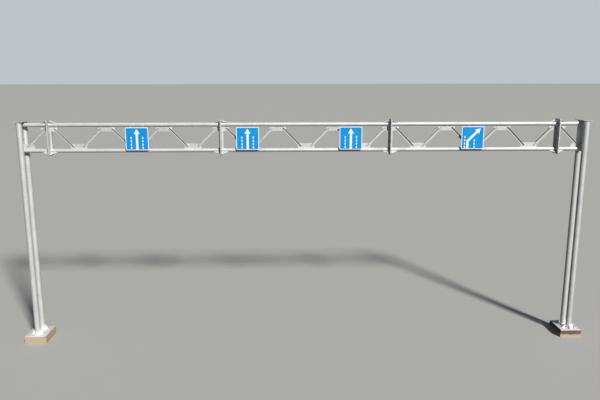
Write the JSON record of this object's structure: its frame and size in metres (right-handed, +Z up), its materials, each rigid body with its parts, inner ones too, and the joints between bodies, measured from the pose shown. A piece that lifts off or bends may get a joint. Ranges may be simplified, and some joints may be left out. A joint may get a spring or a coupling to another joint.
{
  "type": "overhead sign gantry",
  "caption": "Galvanised portal gantry for road signs: twin-tube legs on concrete footings carry a flat lattice girder of tube chords and angle diagonals with square blue lane signs.",
  "frame": {"origin": "on the ground under the middle of the girder, midway between the two legs", "axes": "+X along the girder to the right as a driver sees the signs, -Y the side the signs face, +Z up"},
  "size_m": [23.13, 1.08, 9.105],
  "materials": {
    "zinc_tube": "hot-dip galvanised tube, weathered pale grey",
    "zinc_plate": "hot-dip galvanised plate, matte spangle",
    "zinc_angle": "hot-dip galvanised rolled angle",
    "zinc_rail": "galvanised sheet profile",
    "sign_sheet": "galvanised sheet with blue and white reflective film on the front",
    "concrete": "cast concrete, dusty"
  },
  "bodies": {
    "root": {"left_front_post": "zinc_tube", "left_rear_post": "zinc_tube", "left_cap_plate": "zinc_plate", "left_tie_plate": "zinc_plate", "left_base_plate": "zinc_plate", "left_footing": "concrete", "right_front_post": "zinc_tube", "right_rear_post": "zinc_tube", "right_cap_plate": "zinc_plate", "right_tie_plate": "zinc_plate", "right_base_plate": "zinc_plate", "right_footing": "concrete", "left_stub_chords": "zinc_tube", "left_stub_diagonal": "zinc_angle", "left_corner_gusset": "zinc_plate", "left_stub_flange": "zinc_plate", "right_stub_chords": "zinc_tube", "right_stub_diagonal": "zinc_angle", "right_corner_gusset": "zinc_plate", "right_stub_flange": "zinc_plate", "left_top_chord": "zinc_tube", "left_bottom_chord": "zinc_tube", "left_diagonals": "zinc_angle", "left_gussets": "zinc_plate", "left_flanges": "zinc_plate", "middle_top_chord": "zinc_tube", "middle_bottom_chord": "zinc_tube", "middle_diagonals": "zinc_angle", "middle_gussets": "zinc_plate", "middle_flanges": "zinc_plate", "right_top_chord": "zinc_tube", "right_bottom_chord": "zinc_tube", "right_diagonals": "zinc_angle", "right_gussets": "zinc_plate", "right_flanges": "zinc_plate", "sign_1_panel": "sign_sheet", "sign_1_rails": "zinc_rail", "sign_2_panel": "sign_sheet", "sign_2_rails": "zinc_rail", "sign_3_panel": "sign_sheet", "sign_3_rails": "zinc_rail", "sign_4_panel": "sign_sheet", "sign_4_rails": "zinc_rail"}
  },
  "joints": []
}
